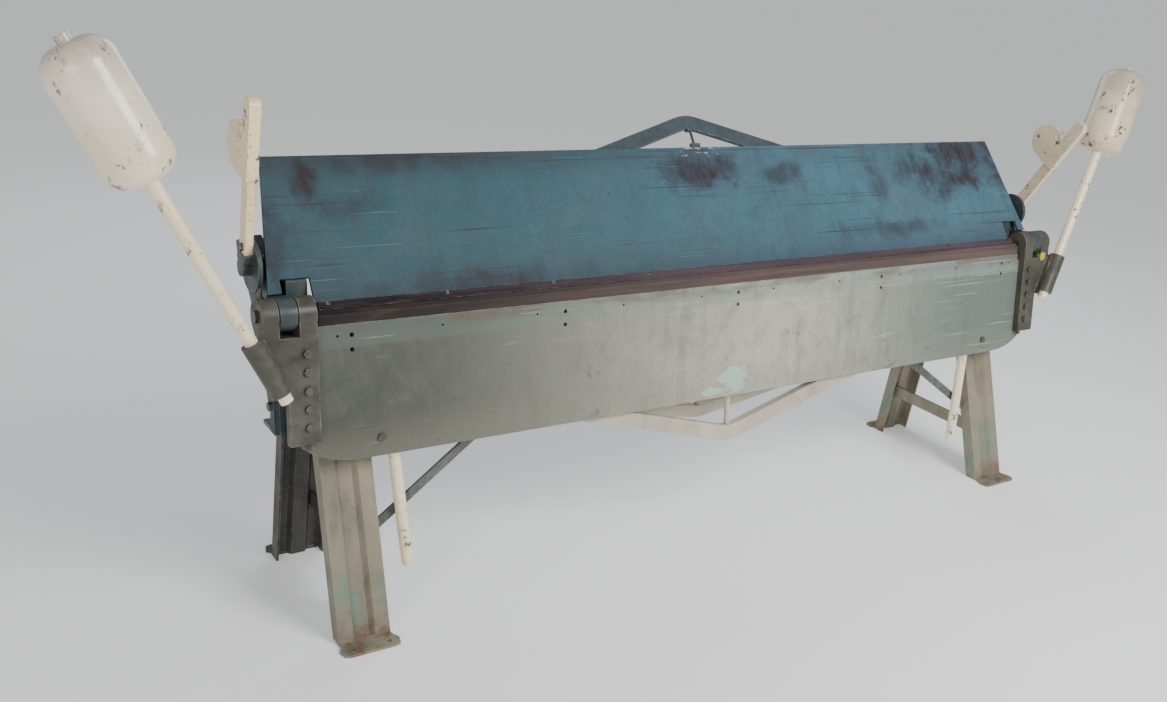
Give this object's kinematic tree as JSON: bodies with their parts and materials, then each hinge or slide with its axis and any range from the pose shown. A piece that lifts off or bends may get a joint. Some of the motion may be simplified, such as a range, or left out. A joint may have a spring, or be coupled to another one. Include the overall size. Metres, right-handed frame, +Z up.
{
  "type": "sheet metal brake",
  "caption": "Hand-operated floor-standing sheet metal brake with clamping leaf, end levers and a counterbalanced bending leaf.",
  "frame": {"origin": "on the floor, at the middle of the rectangle of the outer foot bolt holes", "axes": "+X along the bend line towards the operator's right hand, -Y towards the operator, +Z up"},
  "size_m": [3.5452, 0.566, 1.3792],
  "materials": {
    "bed_steel": "worn satin",
    "bright_steel": "dark, worn bright along the edges",
    "frame_iron": "painted, dull",
    "bush_bronze": "dull",
    "leg_paint": "worn satin",
    "fastener_steel": "oiled",
    "leaf_paint": "worn satin, scratched",
    "apron_paint": "worn satin, scratched",
    "hinge_iron": "painted, worn bright at the knuckles",
    "cream_iron": "gloss paint, chipped",
    "cream_steel": "gloss paint, chipped"
  },
  "bodies": {
    "stand": {"bed_plate": "bed_steel", "bed_bar": "bright_steel", "bed_rail": "bed_steel", "left_side_frame": "frame_iron", "right_side_frame": "frame_iron", "left_hinge_bush": "bush_bronze", "right_hinge_bush": "bush_bronze", "left_shaft_bush": "bush_bronze", "right_shaft_bush": "bush_bronze", "left_leaf_guide": "frame_iron", "right_leaf_guide": "frame_iron", "left_setback_screw": "fastener_steel", "right_setback_screw": "fastener_steel", "left_stand_plate": "bed_steel", "right_stand_plate": "bed_steel", "left_front_leg": "leg_paint", "right_front_leg": "leg_paint", "left_rear_leg": "leg_paint", "right_rear_leg": "leg_paint", "left_cross_tie": "bed_steel", "right_cross_tie": "bed_steel", "left_brace": "bed_steel", "right_brace": "bed_steel", "bed_truss": "bed_steel", "bed_truss_post": "bed_steel", "frame_bolts": "fastener_steel"},
    "top_leaf": {"top_leaf_plate": "leaf_paint", "nose_bar": "bright_steel", "nose_screws": "fastener_steel", "leaf_truss": "leaf_paint", "leaf_truss_post": "leaf_paint", "left_leaf_bracket": "frame_iron", "right_leaf_bracket": "frame_iron"},
    "left_clamp": {"left_clamp_hub": "frame_iron", "left_clamp_lever": "cream_steel", "left_lever_weight": "cream_iron", "left_lever_bolt": "fastener_steel"},
    "right_clamp": {"right_clamp_hub": "frame_iron", "right_clamp_lever": "cream_steel", "right_lever_weight": "cream_iron", "right_lever_bolt": "fastener_steel"},
    "bending_leaf": {"bending_plate": "apron_paint", "bending_bar": "bright_steel", "bar_dowels": "fastener_steel", "left_hinge_casting": "hinge_iron", "right_hinge_casting": "hinge_iron", "hinge_bolts": "fastener_steel", "left_hinge_pin": "fastener_steel", "right_hinge_pin": "fastener_steel", "left_balance_rod": "cream_steel", "right_balance_rod": "cream_steel", "left_counterweight": "cream_iron", "right_counterweight": "cream_iron", "weight_set_screws": "fastener_steel", "left_pull_handle": "cream_steel", "right_pull_handle": "cream_steel", "handle_clamps": "apron_paint", "apron_truss": "apron_paint", "apron_truss_post": "apron_paint", "jack_screws": "fastener_steel"}
  },
  "joints": [
    {"name": "leaf_bend", "type": "hinge", "parent": "stand", "child": "bending_leaf", "pos_m": [0, -0.074, 0.791], "axis": [-1, 0, 0], "range_deg": [0, 120]},
    {"name": "left_clamp_turn", "type": "hinge", "parent": "stand", "child": "left_clamp", "pos_m": [-1.33, 0.0487, 0.86891], "axis": [-1, 0, 0], "range_deg": [0, 80]},
    {"name": "right_clamp_turn", "type": "hinge", "parent": "stand", "child": "right_clamp", "pos_m": [1.33, 0.0487, 0.86891], "axis": [-1, 0, 0], "range_deg": [0, 80]},
    {"name": "leaf_lift", "type": "slide", "parent": "stand", "child": "top_leaf", "axis": [0, 0.1461, 0.9893], "range_m": [0, 0.0309]}
  ],
  "couplings": [
    {"joint": "leaf_lift", "follows": "left_clamp_turn", "m_per_rad": 0.022097},
    {"joint": "right_clamp_turn", "follows": "left_clamp_turn", "ratio": 1}
  ]
}
